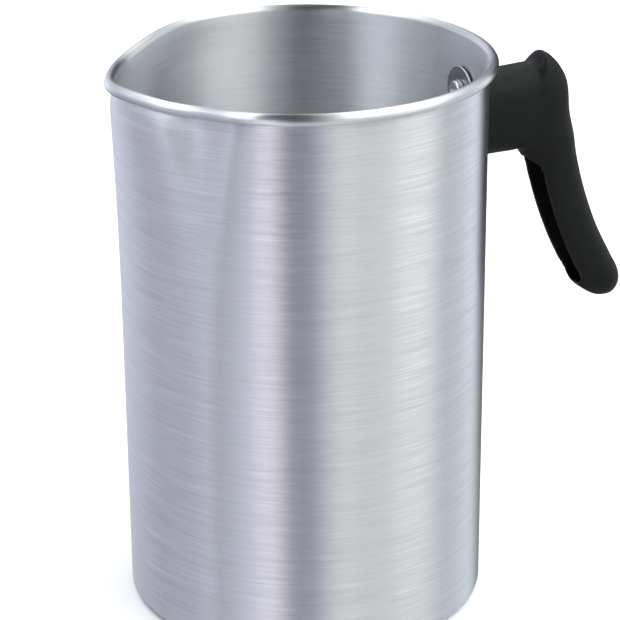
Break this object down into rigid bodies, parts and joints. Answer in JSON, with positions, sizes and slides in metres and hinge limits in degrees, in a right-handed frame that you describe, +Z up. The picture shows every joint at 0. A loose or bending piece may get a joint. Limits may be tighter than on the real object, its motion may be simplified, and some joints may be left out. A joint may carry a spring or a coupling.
{
  "type": "pouring pot",
  "caption": "Tall brushed aluminium pouring pot for melting candle wax, with a rolled rim, a pinched lip and a black moulded side handle held by one screw.",
  "frame": {"origin": "centre of the underside of the base, on the axis of the round wall", "axes": "+Z up along the axis of the wall, +X towards the handle, -X towards the spout"},
  "size_m": [0.2053, 0.1381, 0.2032],
  "materials": {
    "pot_aluminium": "spun and brushed round the wall",
    "handle_plastic": "satin black moulding",
    "insert_brass": "turned",
    "screw_steel": "bright plated",
    "lock_washer_steel": "plated spring steel",
    "washer_steel": "stamped and plated",
    "seal_rubber": "matt"
  },
  "bodies": {
    "root": {"pot_body": "pot_aluminium", "handle": "handle_plastic", "threaded_insert": "insert_brass", "handle_screw": "screw_steel", "lock_washer": "lock_washer_steel", "flat_washer": "washer_steel", "seal_washer": "seal_rubber"}
  },
  "joints": []
}
